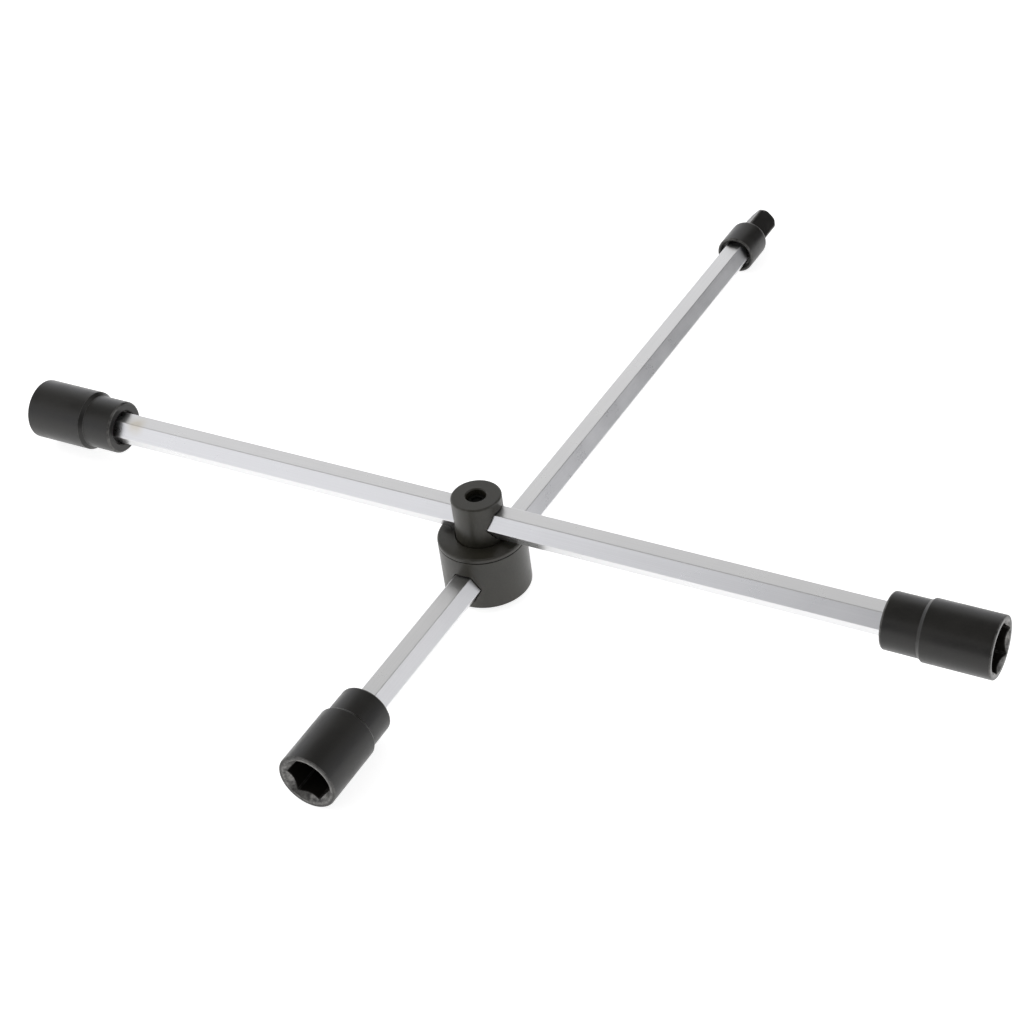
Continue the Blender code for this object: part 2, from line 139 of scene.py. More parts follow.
def ring_mesh(name, rings):
    """A closed mesh from rings of shape (rows, columns, 3): quads join each ring to the next, and
    the first and last rings are closed by triangles to their own middles."""
    rows, columns = rings.shape[:2]
    points = np.concatenate([rings.reshape(-1, 3), rings[:1].mean(1), rings[-1:].mean(1)])
    here, beside, quads = numbered(rows, columns)
    first = np.full(columns, rows * columns)
    start = np.stack([first, beside[0], here[0]], axis=-1)
    end = np.stack([first + 1, here[-1], beside[-1]], axis=-1)
    mesh = bpy.data.meshes.new(name)
    mesh.from_pydata(points.tolist(), [], quads.tolist() + start.tolist() + end.tolist())
    return mesh


# %% [markdown]
# An outline is a list of corners with a fillet radius at each. A fillet is an arc from one
# tangent point to the other. Smooth shading averages the faces around a vertex, so a large flat
# beside a small arc would look bent. A support point just outside each tangent point keeps that
# averaging next to the edge, which is where the light line of a real edge sits.

# %% Fillet the corners of an outline
ARC_STEP = 0.3 * MM
FEWEST_ARC_STEPS = 4
SUPPORT = 0.12 * MM


def filleted(corners):
    """Points of an outline from (x, y, fillet) corners. At each fillet the tangent points lie at
    radius * tan(half the turning angle) from the corner, and the arc runs between them."""
    places = np.array([corner[:2] for corner in corners], float)
    points = [places[0]]
    for before, here, after, radius in zip(places, places[1:], places[2:],
                                           [corner[2] for corner in corners[1:-1]]):
        arrive = (here - before) / np.linalg.norm(here - before)
        leave = (after - here) / np.linalg.norm(after - here)
        turning = math.acos(float(np.clip(arrive @ leave, -1, 1)))
        if radius <= 0 or turning < 1e-3:
            points.append(here)
            continue
        reach = radius * math.tan(turning / 2)
        inward = (leave - arrive) / np.linalg.norm(leave - arrive)
        centre = here + inward * radius / math.cos(turning / 2)
        steps = max(FEWEST_ARC_STEPS, math.ceil(radius * turning / ARC_STEP))
        swing = np.linspace(-turning / 2, turning / 2, steps + 1)[:, None]
        along = (arrive + leave) / np.linalg.norm(arrive + leave)
        points.append(here - arrive * (reach + SUPPORT))
        points.extend(centre - inward * radius * np.cos(swing) + along * radius * np.sin(swing))
        points.append(here + leave * (reach + SUPPORT))
    points.append(places[-1])
    return np.array(points)


def divided(outline, longest):
    """The outline with points added along its straight runs, none longer than the given length."""
    points = [outline[0]]
    for start, stop in zip(outline, outline[1:]):
        parts = max(1, math.ceil(np.linalg.norm(stop - start) / longest))
        points.extend(start + (stop - start) * part / parts for part in range(1, parts + 1))
    return np.array(points)


print("a filleted right angle has", len(filleted([(0, 0, 0), (1, 0, 0.1), (1, 1, 0)])), "points")

# %% [markdown]
# ## Axes of the pieces
#
# The hub is turned about Z. The ends of the bars are turned about the bars. A small frame for
# each end, with its Z pointing out along the bar and its Y up, lets one set of functions make
# them all.

# %% Frames along the bars
COLUMNS = 192  # points around a large turned piece, a multiple of 6 so that hexagons fit


def height_of(node):
    """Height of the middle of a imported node."""
    low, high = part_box(node)
    return (low.z + high.z) / 2


UPPER_AXIS = height_of("upper_bar")
LOWER_AXIS = height_of("lower_bar")


def end_frame(out, height):
    """Columns side, up, out and the origin of a bar end's frame, where side = up x out."""
    out = np.array(out, float)
    up = np.array([0.0, 0.0, 1.0])
    return np.column_stack([np.cross(up, out), up, out]), np.array([0.0, 0.0, height])


def placed(rings, place):
    """Rings moved from a local frame into the row frame."""
    axes, origin = place
    return rings @ axes.T + origin


def angles(turn=0.0, columns=COLUMNS):
    """Angles around a ring, the first of them at the given turn."""
    return turn + np.arange(columns) * math.tau / columns


def stack(radius, height, theta):
    """Rings of shape (rows, columns, 3) from radii and heights, each either one number per row or
    one per row and column."""
    rows = max(len(radius), len(height))
    radius = np.broadcast_to(np.reshape(radius, (rows, -1)), (rows, len(theta)))
    height = np.broadcast_to(np.reshape(height, (rows, -1)), (rows, len(theta)))
    return np.stack([radius * np.cos(theta), radius * np.sin(theta), height], axis=-1)


def stack_rows(rows, theta):
    """The same from a list of (radius, height) rows that may mix both kinds."""
    full = [[np.broadcast_to(value, theta.shape) for value in column] for column in zip(*rows)]
    return stack(np.array(full[0]), np.array(full[1]), theta)


RIGHT_FRAME = end_frame((1, 0, 0), UPPER_AXIS)
LEFT_FRAME = end_frame((-1, 0, 0), UPPER_AXIS)
FRONT_FRAME = end_frame((0, -1, 0), LOWER_AXIS)
DRIVE_FRAME = end_frame((0, 1, 0), LOWER_AXIS)
print("bar axes at heights", round(UPPER_AXIS, 4), "and", round(LOWER_AXIS, 4))

# %% [markdown]
# ## Putting a piece in the scene
#
# A finished piece is a mesh whose place is in its vertices. It rides on a body of the packed
# model and stands for the imported node of the same shape. Edges sharper than 30 degrees stay
# sharp, and fillets shade smooth.

# %% Finish a piece
SHARP_ANGLE = math.radians(30)


def recalculated(mesh):
    """The mesh with its doubles merged, its faces outwards and its gentle edges smooth."""
    work = bmesh.new()
    work.from_mesh(mesh)
    bmesh.ops.remove_doubles(work, verts=work.verts, dist=1e-6)
    bmesh.ops.recalc_face_normals(work, faces=work.faces)
    work.to_mesh(mesh)
    work.free()
    mesh.shade_smooth()
    mesh.set_sharp_from_angle(angle=SHARP_ANGLE)
    return mesh


def new_object(name, rings):
    """An object in the scene from rings that are already in the row frame."""
    return add_object(name, recalculated(ring_mesh(name, rings)))


def cut(piece, *tools):
    """Takes closed tools away from a piece with an exact Boolean, then removes the tools."""
    for tool in tools:
        boolean = piece.modifiers.new("cut", "BOOLEAN")
        boolean.operation = "DIFFERENCE"
        boolean.solver = "EXACT"
        boolean.object = tool
        bpy.context.view_layer.update()
        evaluated = piece.evaluated_get(bpy.context.evaluated_depsgraph_get())
        result = bpy.data.meshes.new_from_object(evaluated)
        piece.modifiers.clear()
        piece.data = recalculated(result)
        bpy.data.objects.remove(tool)
    return piece


def finish_piece(piece, node, body):
    """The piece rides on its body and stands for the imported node."""
    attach(piece, body)
    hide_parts(node)
    print(f"{piece.name}: {len(piece.data.polygons)} faces on {body}")
    return piece


# %% [markdown]
# ## Hexagons
#
# The radius of a hexagon at an angle is its apothem over the cosine of the angle from the
# nearest flat's middle. The remainder of a division folds all six flats into one, so a whole
# ring is one expression.

# %% Hexagon radii
SIXTH = math.tau / 6


def hexagon_radius(theta, flats, turn=0.0, corner_relief=0.0):
    """Radius of a hexagon with a corner at turn: apothem / cos(angle from the nearest flat's
    middle), held back from its corners by the relief."""
    apothem = flats / 2
    from_flat = np.mod(theta - turn, SIXTH) - SIXTH / 2
    corner = apothem / math.cos(SIXTH / 2)
    return np.minimum(apothem / np.cos(from_flat), corner - corner_relief)


# %% [markdown]
# ## The bars
#
# Both bars are cold-drawn hexagonal steel, 14 mm across flats. Drawing leaves flat, satin faces
# and crisp corners with a radius of about half a millimetre, and that radius is what catches the
# thin lines of light along a bar. So the section is a filleted hexagon, carried along the axis,
# with a small chamfer at each cut end.

# %% Bars
BAR_FLATS = 14.0 * MM
BAR_CORNER_ROUND = 0.45 * MM
BAR_END_CHAMFER = 0.6 * MM
HOLE_COLUMNS = 48
PIN_HOLE_RADIUS = 2.3 * MM
PIN_CLEARANCE = 0.3 * MM  # of a blind hole's end beyond its pin


def hexagon_section(flats, fillet):
    """A filleted hexagon with a corner at angle zero, once around, from three of its corners on
    each side of every fillet."""
    radius = flats / 2 / math.cos(SIXTH / 2)
    corners = [(radius * math.cos(k * SIXTH), radius * math.sin(k * SIXTH), fillet)
               for k in range(-1, 8)]
    outline = filleted(corners)
    per_corner = (len(outline) - 2) // 7
    return outline[1 + per_corner:1 + 7 * per_corner]


def bar_rings(start, stop, place):
    """The section at full size along the bar, and drawn in by the chamfer at both ends."""
    section = hexagon_section(BAR_FLATS, BAR_CORNER_ROUND)
    shrink = 1 - BAR_END_CHAMFER / (BAR_FLATS / 2)
    length = [start, start + BAR_END_CHAMFER, stop - BAR_END_CHAMFER, stop]
    scale = [shrink, 1, 1, shrink]
    rings = [np.column_stack([section * s, np.full(len(section), z)])
             for s, z in zip(scale, length)]
    return placed(np.array(rings), place)


def round_tool(radius, low, high):
    """Rings of a straight round tool about Z."""
    return stack(np.full(2, radius), np.array([low, high]), angles(0, HOLE_COLUMNS))


def pin_hole(pin, place, along, reach):
    """A blind round tool from below the bar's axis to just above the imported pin, at a distance
    along the bar."""
    axes, origin = place
    foot = origin + axes @ np.array([0, 0, along])
    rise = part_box(pin)[1].z - origin[2] + PIN_CLEARANCE
    return new_object("hole", round_tool(PIN_HOLE_RADIUS, -reach, rise) + foot)


def node_span(node, axis):
    """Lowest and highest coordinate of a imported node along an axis, 0 for X and 1 for Y."""
    low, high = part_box(node)
    return low[axis], high[axis]


def node_middle(node, axis):
    """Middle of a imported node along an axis."""
    return sum(node_span(node, axis)) / 2


upper_bar = new_object("upper_bar_steel", bar_rings(*node_span("upper_bar", 0), RIGHT_FRAME))
lower_bar = new_object("lower_bar_steel", bar_rings(*node_span("lower_bar", 1), DRIVE_FRAME))
for bar, place, pins in ((upper_bar, RIGHT_FRAME, (("right_pin", 0), ("left_pin", 0))),
                         (lower_bar, DRIVE_FRAME, (("front_pin", 1), ("drive_pin", 1)))):
    for pin, axis in pins:
        cut(bar, pin_hole(pin, place, node_middle(pin, axis), 2 * BAR_FLATS))
finish_piece(upper_bar, "upper_bar", "upper_arm")
finish_piece(lower_bar, "lower_bar", "lower_arm")

# %% [markdown]
# ## The sockets
#
# A socket is a turned steel cup. Seen from the front: a rounded outer edge, a narrow flat ring,
# a 45 degree lead-in cone, and the broached hexagon. Where the cone meets the hexagon it cuts a
# crescent into each flat. A Boolean could cut that, but the meeting line is simple: the cone's
# radius falls as fast as its depth grows, so it reaches the hexagon at a depth of the mouth's
# radius less the hexagon's radius at that angle. If one ring of the grid lies on that line, the
# crescents are exact. The back of the collar has a round recess that the bar goes into.

# %% Socket surface
SOCKET_EDGE = 1.2 * MM
MOUTH_EDGE = 0.6 * MM
MOUTH_RIM = 1.6 * MM
MOUTH_ROUND = 0.45 * MM  # the rubbed edge between the flat ring and the cone
STEP_BEFORE, STEP_AFTER = 0.9 * MM, 0.8 * MM  # the step's slope starts before it and ends after
STEP_ROUND = 0.4 * MM
NUT_DEPTH = 23.5 * MM
DRILL_POINT = 0.8 * MM
FLOOR_CHAMFER = 0.2 * MM
NUT_CORNER_RELIEF = 0.25 * MM
RECESS_RADIUS = 8.9 * MM
RECESS_DEPTH = 2.5 * MM
RECESS_CHAMFER = 0.5 * MM
PIN_FROM_REAR = 11.5 * MM
FLOOR_CENTRE = 0.3  # a cavity's last ring, as a share of its hexagon
BORE_FLATS = 14.7 * MM
SEAT_DEPTH = 23.3 * MM
SOCKETS = {
    # name: frame, step's distance from the hub, collar's diameter, nut's flats and turn
    "right": (RIGHT_FRAME, 223.3, 26.4, 21.3, 8.0),
    "left": (LEFT_FRAME, 228.5, 26.9, 22.3, 5.0),
    "front": (FRONT_FRAME, 127.0, 26.0, 19.3, -10.0),
}


def span_out(node, place):
    """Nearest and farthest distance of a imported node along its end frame's outward axis."""
    low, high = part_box(node)
    out = place[0][:, 2]
    reach = sorted((float(np.dot(out, low)), float(np.dot(out, high))))
    return reach[0], reach[1]


def body_radius(node):
    """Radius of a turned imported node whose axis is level."""
    low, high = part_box(node)
    return (high.z - low.z) / 2


def nut_cavity(theta, front, mouth, flats, turn):
    """(radius, height) rows of the cavity from its floor out to the mouth: a shallow drill point,
    the broached hexagon, and the cone. The cone's rings lie at shares of its own depth, and an arc
    of an eighth of a turn rounds it into the flat ring."""
    hexagon = hexagon_radius(theta, flats, turn, NUT_CORNER_RELIEF)
    depth = mouth - hexagon
    floor = front - NUT_DEPTH
    rows = [(hexagon * FLOOR_CENTRE, floor - DRILL_POINT), (hexagon * 0.92, floor),
            (hexagon, floor + FLOOR_CHAMFER)]
    rows += [(hexagon, floor + (front - depth - floor) * share) for share in (0.5, 0.97, 1.0)]
    arc_depth = MOUTH_ROUND * (1 - math.cos(math.tau / 8))
    levels = [arc_depth + (depth - arc_depth) * share for share in (0.94, 0.5, 0.06)]
    rows += [(mouth - level, front - level) for level in levels]
    arc_middle = mouth + MOUTH_ROUND * math.tan(math.tau / 16)
    rows += [(arc_middle + MOUTH_ROUND * math.cos(angle),
              front - MOUTH_ROUND * (1 - math.sin(angle))) for angle in np.radians([135, 120, 105, 90])]
    return rows


def recess_corners(rear):
    """Corners of the recess at an end's back: its chamfer, its wall and its floor's edge."""
    return [(RECESS_RADIUS + RECESS_CHAMFER, rear, 0), (RECESS_RADIUS, rear + RECESS_CHAMFER, 0),
            (RECESS_RADIUS, rear + RECESS_DEPTH, 0)]


def socket_outside(rear, step, front, collar, body, mouth):
    """The turned outline from the mouth's ring, over the body and the step, to the recess."""
    return filleted([(mouth, front, 0), (body, front, MOUTH_EDGE),
                     (body, step + STEP_AFTER, STEP_ROUND),
                     (collar, step - STEP_BEFORE, STEP_ROUND), (collar, rear, SOCKET_EDGE),
                     *recess_corners(rear)])


def bar_seat(theta, rear, seat_depth):
    """Rows of the bar's bore: the recess floor, the hexagon and the seat's floor."""
    bore = hexagon_radius(theta, BORE_FLATS)
    seat = rear + seat_depth
    return [(bore, rear + RECESS_DEPTH), (bore, seat), (bore * FLOOR_CENTRE, seat)]


def socket_rings(place, rear, step, front, collar, body, flats, turn):
    """One closed grid: cavity, outside, recess, bore."""
    theta = angles(turn)
    mouth = body - MOUTH_EDGE - MOUTH_RIM
    rows = nut_cavity(theta, front, mouth, flats, turn)
    rows.extend(socket_outside(rear, step, front, collar, body, mouth)[1:])
    rows.extend(bar_seat(theta, rear, SEAT_DEPTH))
    return placed(stack_rows(rows, theta), place)


def make_socket(side, place, step, collar, flats, turn):
    """A socket piece with its cross hole, riding with its bar."""
    node = f"{side}_socket"
    rear, front = span_out(node, place)
    body = body_radius(node)
    rings = socket_rings(place, rear, step * MM, front, collar / 2 * MM, body, flats * MM,
                         math.radians(turn))
    piece = new_object(f"{side}_socket_steel", rings)
    cut(piece, pin_hole(f"{side}_pin", place, rear + PIN_FROM_REAR, body + MM))
    return finish_piece(piece, node, "lower_arm" if side == "front" else "upper_arm")


sockets = {side: make_socket(side, *sizes) for side, sizes in SOCKETS.items()}

# %% [markdown]
# ## The square drive
#
# The fourth end is a collar that narrows through a large round into a 12.7 mm square, set corner
# up. As radii around the axis, the collar is a turned outline and the square is its half width
# over the larger of |cos| and |sin|. The outer surface of both together is simply the larger of
# the two radii, and the tip's turned chamfer is the smaller of the square and a cone.

# %% Drive end
SQUARE = 12.7 * MM
SQUARE_CORNER_ROUND = 8.55 * MM  # the square's corners are turned down to this radius
SQUARE_SPARE = 0.2 * MM  # so that the turned outline stays outside the square's flats
SQUARE_END = 3.0 * MM  # from the shoulder to where its round takes over
SHOULDER_FROM_TIP = 20.3 * MM
SHOULDER_ROUND = 3.2 * MM
SHOULDER_INSET = 0.1 * MM  # the shoulder starts this far inside the square's flats
DRIVE_COLLAR_EDGE = 1.0 * MM
DRIVE_SEAT_DEPTH = 15.3 * MM
TIP_OUTLINE = np.array([
    # radius, distance before the tip, fillet
    (0.2, 0.0, 0.0),
    (5.0, 0.0, 0.4),
    (7.2, 1.4, 2.0),
    (8.55, 4.6, 4.0),
]) * MM
DRIVE_BALL_RADIUS = 2.0 * MM
DRIVE_BALL_FROM_TIP = 6.5 * MM
DRIVE_BALL_HOLE = 2.3 * MM
DRIVE_WELL_DEPTH = 3.5 * MM  # beyond the bar's axis


def square_radius(theta):
    """Radius of a square with a corner up: half width / max(|cos|, |sin|) of the angle from a
    flat's middle, which lies at 45 degrees, its corners turned down."""
    from_flat = theta - math.radians(45)
    radius = SQUARE / 2 / np.maximum(np.abs(np.cos(from_flat)), np.abs(np.sin(from_flat)))
    return np.minimum(radius, SQUARE_CORNER_ROUND)


def drive_rings(place, rear, tip, collar):
    """One closed grid: tip, square, shoulder, collar, recess, bore."""
    theta = angles()
    square = square_radius(theta)
    shoulder = tip - SHOULDER_FROM_TIP
    tip_corners = [(radius, tip - before, fillet) for radius, before, fillet in TIP_OUTLINE]
    tip_corners.append((SQUARE_CORNER_ROUND + SQUARE_SPARE, shoulder + SQUARE_END, 0))
    rows = [(np.minimum(square, radius), height) for radius, height in filleted(tip_corners)]
    collar_corners = [(SQUARE / 2 - SHOULDER_INSET, shoulder, 0), (collar, shoulder, SHOULDER_ROUND),
                      (collar, rear, DRIVE_COLLAR_EDGE), *recess_corners(rear)]
    outline = filleted(collar_corners)
    rows += [(np.maximum(square, radius), height) for radius, height in outline[:-2]]
    rows.extend(outline[-2:])
    rows.extend(bar_seat(theta, rear, DRIVE_SEAT_DEPTH))
    return placed(stack_rows(rows, theta), place)


def ball_well(place, tip):
    """A round tool through the flat of the square that carries the ball."""
    axes, origin = place
    across = axes @ np.array([-math.cos(math.radians(45)), -math.sin(math.radians(45)), 0])
    along = axes[:, 2]
    side = np.cross(across, along)
    centre = origin + along * (tip - DRIVE_BALL_FROM_TIP)
    rings = round_tool(DRIVE_BALL_HOLE, -DRIVE_WELL_DEPTH, SQUARE)
    return new_object("well", rings @ np.column_stack([along, side, across]).T + centre)


def make_drive_end():
    """The drive end, with the holes for its pin and its ball."""
    rear, tip = span_out("drive_end", DRIVE_FRAME)
    piece = new_object("drive_end_steel", drive_rings(DRIVE_FRAME, rear, tip, body_radius("drive_end")))
    hole = pin_hole("drive_pin", DRIVE_FRAME, node_middle("drive_pin", 1), BAR_FLATS)
    cut(piece, hole, ball_well(DRIVE_FRAME, tip))
    return finish_piece(piece, "drive_end", "lower_arm")


drive_end = make_drive_end()

# %% [markdown]
# ## The hub
#
# The hub is three turned pieces. The base and the post each have a hexagonal bore across them,
# and no single grid of rings holds a crossing of two directions, so here an exact Boolean does
# the cut. Its tool is a grid too: a hexagon carried along the bore, whose last rings widen at 45
# degrees just where they meet the round wall. The wall lies at sqrt(radius^2 - side^2) from the
# axis, so the widening follows the wall all round, and the bore gets an even chamfer.

# %% Bore across a round wall
BORE_CHAMFER = 0.35 * MM
BORE_CORNER_RELIEF = 0.1 * MM
BORE_COLUMNS = 96
BEYOND_WALL = 0.5 * MM  # how far out the tool goes on widening
BEYOND_PIECE = 5 * MM


def bore_tool(wall, place):
    """Rings from one side of the wall to the other. At distance e outside the wall the hexagon is
    wider by chamfer + e, and at the chamfer's depth inside the wall it has its own size."""
    theta = angles(0, BORE_COLUMNS)
    hexagon = hexagon_radius(theta, BORE_FLATS, 0.0, BORE_CORNER_RELIEF)

    def wall_distance(radius):
        return np.sqrt(wall ** 2 - (radius * np.cos(theta)) ** 2)

    wide = hexagon + BORE_CHAMFER + BEYOND_WALL
    outer = wall_distance(wide) + BEYOND_WALL
    inner = wall_distance(hexagon) - BORE_CHAMFER
    end = wall + BEYOND_PIECE
    rows = [(wide, -end), (wide, -outer), (hexagon, -inner), (hexagon, inner), (wide, outer),
            (wide, end)]
    return new_object("bore", placed(stack_rows(rows, theta), place))


WALL_STEP = 1.0 * MM  # longest face of a wall that a bore is cut through


def turned_rings(corners):
    """Rings of a turned piece from its filleted outline, about Z, fine enough to be cut."""
    outline = divided(filleted(corners), WALL_STEP)
    return stack(outline[:, 0], outline[:, 1], angles())


# %% [markdown]
# The base is a thick cup: its floor holds the lower bar's bore, and its chamber holds the post's
# flange, a washer and the balls. The cover is a ring pressed into the chamber. The seam between
# them is the fine dark line just below the hub's rim.

# %% Hub base and cover
BASE_EDGE = 0.8 * MM
BASE_TOP_EDGE = 0.35 * MM
INNER_EDGE = 0.2 * MM
CHAMBER_RADIUS = 18.0 * MM
CHAMBER_FLOOR = 22.0 * MM
FRICTION_BALL_HOLE = 3.3 * MM
INDEX_WELL_FLOOR = 13.0 * MM
COVER_EDGE, COVER_INNER_EDGE = 1.0 * MM, 0.3 * MM
COVER_GAP = 0.3 * MM  # to the base all round, which shows as the seam
POST_GAP = 0.35 * MM  # from the cover to the post
POST_RADIUS = 12.25 * MM
TINY = 0.05 * MM  # radius of the small ring that closes a pole


def make_hub_base():
    """The cup with its cross bore and the small well of the index ball."""
    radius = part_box("hub_base")[1].x
    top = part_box("hub_base")[1].z
    corners = [(TINY, 0, 0), (radius, 0, BASE_EDGE), (radius, top, BASE_TOP_EDGE),
               (CHAMBER_RADIUS, top, INNER_EDGE), (CHAMBER_RADIUS, CHAMBER_FLOOR, 0),
               (FRICTION_BALL_HOLE, CHAMBER_FLOOR, 0), (FRICTION_BALL_HOLE, LOWER_AXIS, 0),
               (TINY, LOWER_AXIS, 0)]
    piece = new_object("hub_base_steel", turned_rings(corners))
    well_x = node_middle("index_ball", 0)
    well = round_tool(PIN_HOLE_RADIUS, INDEX_WELL_FLOOR, top)
    well_tool = new_object("well", well + np.array([well_x, 0, 0]))
    cut(piece, bore_tool(radius, DRIVE_FRAME), well_tool)
    return finish_piece(piece, "hub_base", "hub")


def make_hub_cover():
    """The ring, with a spigot that goes into the chamber."""
    low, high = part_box("hub_cover")
    radius = high.x
    inner = POST_RADIUS + POST_GAP
    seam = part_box("hub_base")[1].z + COVER_GAP
    spigot = CHAMBER_RADIUS - COVER_GAP
    corners = [(inner, seam, 0), (inner, low.z, 0), (spigot, low.z, 0), (spigot, seam, 0),
               (radius, seam, BASE_TOP_EDGE), (radius, high.z, COVER_EDGE),
               (inner, high.z, COVER_INNER_EDGE), (inner, seam, 0)]
    outline = filleted(corners)
    rings = stack(outline[:, 0], outline[:, 1], angles())
    return finish_piece(tube_object("hub_cover_steel", rings), "hub_cover", "hub")


# %% [markdown]
# The cover has a hole through it, so its outline never reaches the axis and there is no pole to
# close. Its last ring lies on its first one. The mesh then needs quads only, and merging doubles
# joins the seam.

# %% Ring pieces
def tube_object(name, rings):
    """An object from rings whose last ring repeats the first, without poles."""
    quads = numbered(*rings.shape[:2])[2]
    mesh = bpy.data.meshes.new(name)
    mesh.from_pydata(rings.reshape(-1, 3).tolist(), [], quads.tolist())
    return add_object(name, recalculated(mesh))


hub_base = make_hub_base()
hub_cover = make_hub_cover()

# %% [markdown]
# The post turns in the base. Its flange sits under the cover, the upper bar runs across it, and
# an open hole on its top holds the screw that sets how stiffly the bar slides.

# %% Pivot head
POST_EDGE = 0.9 * MM
POST_HOLE_RADIUS = 4.9 * MM
POST_HOLE_EDGE, POST_HOLE_ROUND = 0.5 * MM, 0.12 * MM
SPRING_WELL_RADIUS = 3.4 * MM
SPRING_WELL_TOP = 30.4 * MM
GROOVE_INNER, GROOVE_OUTER, GROOVE_TOP = 10.9 * MM, 15.5 * MM, 24.7 * MM
FLANGE_TOP = 26.2 * MM


def make_pivot_head():
    """The post with its flange, cross bore, screw hole, spring well and index groove."""
    low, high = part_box("pivot_head")
    flange = high.x
    corners = [(TINY, SPRING_WELL_TOP, 0), (SPRING_WELL_RADIUS, SPRING_WELL_TOP, 0),
               (SPRING_WELL_RADIUS, low.z, 0), (GROOVE_INNER, low.z, 0),
               (GROOVE_INNER, GROOVE_TOP, 0), (GROOVE_OUTER, GROOVE_TOP, 0),
               (GROOVE_OUTER, low.z, 0), (flange, low.z, INNER_EDGE), (flange, FLANGE_TOP, INNER_EDGE),
               (POST_RADIUS, FLANGE_TOP, 0), (POST_RADIUS, high.z, POST_EDGE),
               (POST_HOLE_RADIUS + POST_HOLE_EDGE, high.z, POST_HOLE_ROUND),
               (POST_HOLE_RADIUS, high.z - POST_HOLE_EDGE, POST_HOLE_ROUND),
               (POST_HOLE_RADIUS, UPPER_AXIS, 0), (TINY, UPPER_AXIS, 0)]
    piece = new_object("pivot_head_steel", turned_rings(corners))
    cut(piece, bore_tool(POST_RADIUS, RIGHT_FRAME))
    return finish_piece(piece, "pivot_head", "post")


pivot_head = make_pivot_head()

# %% [markdown]
# ## Small hardware
#
# The screw in the post's hole has a hexagonal key socket and a domed, chamfered face. The ball
# of the square drive is a bearing ball. Both show, so both get a fine surface. The rest of the
# hardware (pins, springs, balls, washer and pad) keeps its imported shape.

# %% Screw and ball
KEY_FLATS = 5.0 * MM
KEY_DEPTH = 1.1 * MM
KEY_CHAMFER = 0.15 * MM
SCREW_BACK_EDGE, SCREW_EDGE = 0.3 * MM, 0.5 * MM
SCREW_COLUMNS = 96
FACE_RING = 1.35  # the face's inner ring, as a share of the key's half width


def make_brake_screw():
    """A short screw: a chamfered disc with a hexagonal key socket in its top."""
    low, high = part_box("brake_screw")
    radius = high.x
    theta = angles(0, SCREW_COLUMNS)
    key = hexagon_radius(theta, KEY_FLATS)
    outline = filleted([(TINY, low.z, 0), (radius, low.z, SCREW_BACK_EDGE),
                        (radius, high.z, SCREW_EDGE), (KEY_FLATS / 2 * FACE_RING, high.z, 0)])
    steps = ((1.06, 0.0), (1.0, KEY_CHAMFER), (1.0, KEY_DEPTH), (0.2, KEY_DEPTH))
    rows = [*outline, *((key * share, high.z - depth) for share, depth in steps)]
    piece = new_object("brake_screw_steel", stack_rows(rows, theta))
    return finish_piece(piece, "brake_screw", "post")


def make_drive_ball():
    """A ball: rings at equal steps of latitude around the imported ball's middle."""
    low, high = (np.array(corner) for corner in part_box("drive_ball"))
    latitude = np.linspace(-1, 1, 25)[1:-1] * math.pi / 2
    rings = DRIVE_BALL_RADIUS * stack(np.cos(latitude), np.sin(latitude), angles(0, HOLE_COLUMNS))
    piece = new_object("drive_ball_steel", rings + (low + high) / 2)
    return finish_piece(piece, "drive_ball", "detent_ball")


brake_screw = make_brake_screw()
drive_ball = make_drive_ball()

# %% [markdown]
# ## Building materials
#
# Node trees are easier to read if one helper adds a node, sets its properties and wires its
# inputs. A wired input is given as the socket that it comes from, and a fixed one as a value.

# %% Node helpers
def add(tree, kind, inputs=None, **settings):
    """Adds a node with settings, and links or sets each named input."""
    made = tree.nodes.new(kind)
    for key, value in settings.items():
        setattr(made, key, value)
    for key, value in (inputs or {}).items():
        if isinstance(value, bpy.types.NodeSocket):
            tree.links.new(value, made.inputs[key])
        else:
            made.inputs[key].default_value = value
    return made


def calculate(tree, operation, first, second=0.0):
    """The result of a Math node."""
    return add(tree, "ShaderNodeMath", {0: first, 1: second}, operation=operation).outputs[0]


def remap(tree, value, low, high, to_low=0.0, to_high=1.0):
    """A value mapped smoothly from one range to another, and held inside it."""
    return add(tree, "ShaderNodeMapRange", {"Value": value, "From Min": low, "From Max": high,
                                            "To Min": to_low, "To Max": to_high},
               interpolation_type="SMOOTHSTEP").outputs["Result"]


def blend_colours(tree, share, first, second):
    """The first colour where share is 0, and the second where it is 1."""
    mix = add(tree, "ShaderNodeMix", {0: share, 6: first, 7: second}, data_type="RGBA")
    return mix.outputs[2]


def noise(tree, vector, scale, detail=3.0, roughness=0.55):
    """A noise texture's value."""
    inputs = {"Vector": vector, "Scale": scale, "Detail": detail, "Roughness": roughness}
    return add(tree, "ShaderNodeTexNoise", inputs).outputs["Fac"]


def weighed(tree, first, first_share, second, second_share):
    """The sum of two values, each times its share."""
    return calculate(tree, "ADD", calculate(tree, "MULTIPLY", first, first_share),
                     calculate(tree, "MULTIPLY", second, second_share))


def group(name, inputs):
    """An empty shader group with float or vector inputs and one mask as its output."""
    made = bpy.data.node_groups.new(name, "ShaderNodeTree")
    for label, kind, value in inputs:
        socket = made.interface.new_socket(label, in_out="INPUT", socket_type=kind)
        if value is not None:
            socket.default_value = value
    made.interface.new_socket("Mask", in_out="OUTPUT", socket_type="NodeSocketFloat")
    return made, made.nodes.new("NodeGroupInput"), made.nodes.new("NodeGroupOutput")


def use(tree, made, place, **inputs):
    """The mask of a group placed in a material, at a position and with its own values."""
    named = {"Vector": place, **inputs}
    return add(tree, "ShaderNodeGroup", named, node_tree=made).outputs["Mask"]


